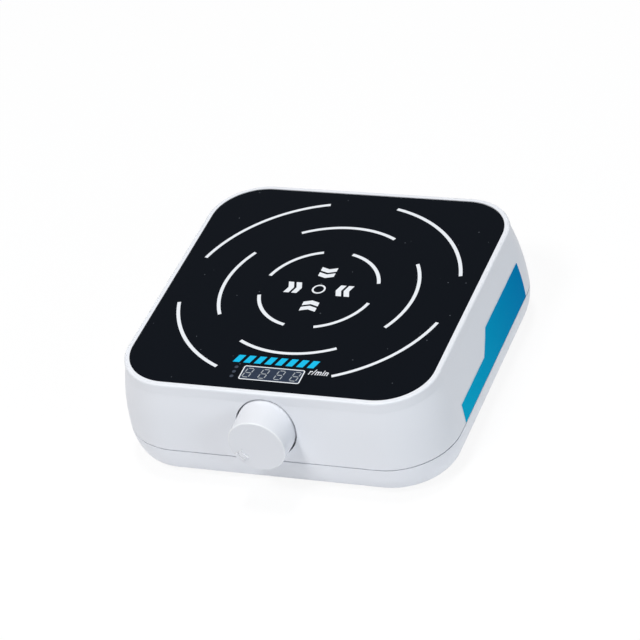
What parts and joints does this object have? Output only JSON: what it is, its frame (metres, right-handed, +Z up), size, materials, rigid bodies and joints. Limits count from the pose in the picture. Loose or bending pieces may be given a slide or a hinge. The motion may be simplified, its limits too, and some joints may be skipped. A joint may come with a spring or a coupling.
{
  "type": "magnetic stirrer",
  "caption": "Flat square magnetic stirrer: white moulded case, flush black glass plate over a spinning magnet drive, front speed knob, display under the glass, rear inlet and power switch.",
  "frame": {"origin": "on the bench plane under the stirring axis, at the middle of the square case", "axes": "+Z up out of the glass, -Y to the front with the knob, +X to the side with the label"},
  "size_m": [0.1602, 0.1716, 0.051],
  "materials": {
    "case_plastic": "white moulded plastic, satin gloss",
    "knob_plastic": "white moulded plastic, fine satin",
    "black_glass": "black back-printed tempered glass",
    "adhesive_film": "black adhesive film",
    "label_film": "printed blue film, satin",
    "foot_rubber": "dark moulded rubber",
    "grommet_rubber": "soft moulded rubber",
    "zinc_screw": "zinc-plated steel",
    "plate_steel": "stamped steel sheet",
    "shaft_steel": "ground steel",
    "stator_iron": "laminated iron",
    "magnet_nickel": "nickel-plated magnet",
    "hub_aluminium": "turned aluminium",
    "contact_brass": "brass",
    "black_plastic": "black moulded plastic",
    "board_laminate": "green circuit board laminate",
    "display_epoxy": "grey display housing with epoxy face",
    "led_epoxy": "clear epoxy",
    "socket_nylon": "natural nylon",
    "capacitor_sleeve": "dark blue shrink sleeve",
    "lead_jacket": "PVC jacket"
  },
  "bodies": {
    "case": {"top_housing": "case_plastic", "base_shell": "case_plastic", "glass_plate": "black_glass", "glass_adhesive": "adhesive_film", "side_label": "label_film", "rubber_feet": "foot_rubber", "base_screws": "zinc_screw", "pot_body": "black_plastic", "pot_bushing": "contact_brass", "pot_washer": "zinc_screw", "pot_nut": "zinc_screw", "pot_pins": "contact_brass", "display_board": "board_laminate", "digit_display": "display_epoxy", "indicator_leds": "led_epoxy", "display_screws": "zinc_screw", "display_socket": "socket_nylon", "motor_plate": "plate_steel", "plate_grommets": "grommet_rubber", "plate_screws": "zinc_screw", "motor_can": "plate_steel", "motor_end_cap": "black_plastic", "motor_stator": "stator_iron", "upper_bearing": "shaft_steel", "lower_bearing": "shaft_steel", "motor_terminal": "black_plastic", "motor_screws": "zinc_screw", "control_board": "board_laminate", "board_screws": "zinc_screw", "board_sockets": "socket_nylon", "capacitors": "capacitor_sleeve", "board_chips": "black_plastic", "dc_jack": "black_plastic", "dc_jack_pin": "contact_brass", "dc_jack_nut": "zinc_screw", "dc_jack_tabs": "contact_brass", "switch_frame": "black_plastic", "switch_tabs": "contact_brass", "motor_lead": "lead_jacket", "display_lead": "lead_jacket", "speed_lead": "lead_jacket", "inlet_lead": "lead_jacket", "switch_lead": "lead_jacket"},
    "knob": {"speed_knob": "knob_plastic", "pot_shaft": "shaft_steel"},
    "stir_rotor": {"magnet_holder": "black_plastic", "drive_magnet_north": "magnet_nickel", "drive_magnet_south": "magnet_nickel", "yoke_bar": "plate_steel", "drive_hub": "hub_aluminium", "hub_set_screw": "zinc_screw", "hub_screws": "zinc_screw", "motor_shaft": "shaft_steel", "motor_rotor": "stator_iron"},
    "rocker": {"switch_rocker": "black_plastic"}
  },
  "joints": [
    {"name": "knob_turn", "type": "hinge", "parent": "case", "child": "knob", "pos_m": [0, -0.079, 0.0335], "axis": [0, 1, 0], "range_deg": [-12, 268]},
    {"name": "stir_spin", "type": "hinge", "parent": "case", "child": "stir_rotor", "pos_m": [0, 0, 0.03], "axis": [0, 0, 1], "continuous": true},
    {"name": "switch_rock", "type": "hinge", "parent": "case", "child": "rocker", "pos_m": [0.014, 0.0754, 0.03], "axis": [0, 0, 1], "range_deg": [0, 20]}
  ]
}
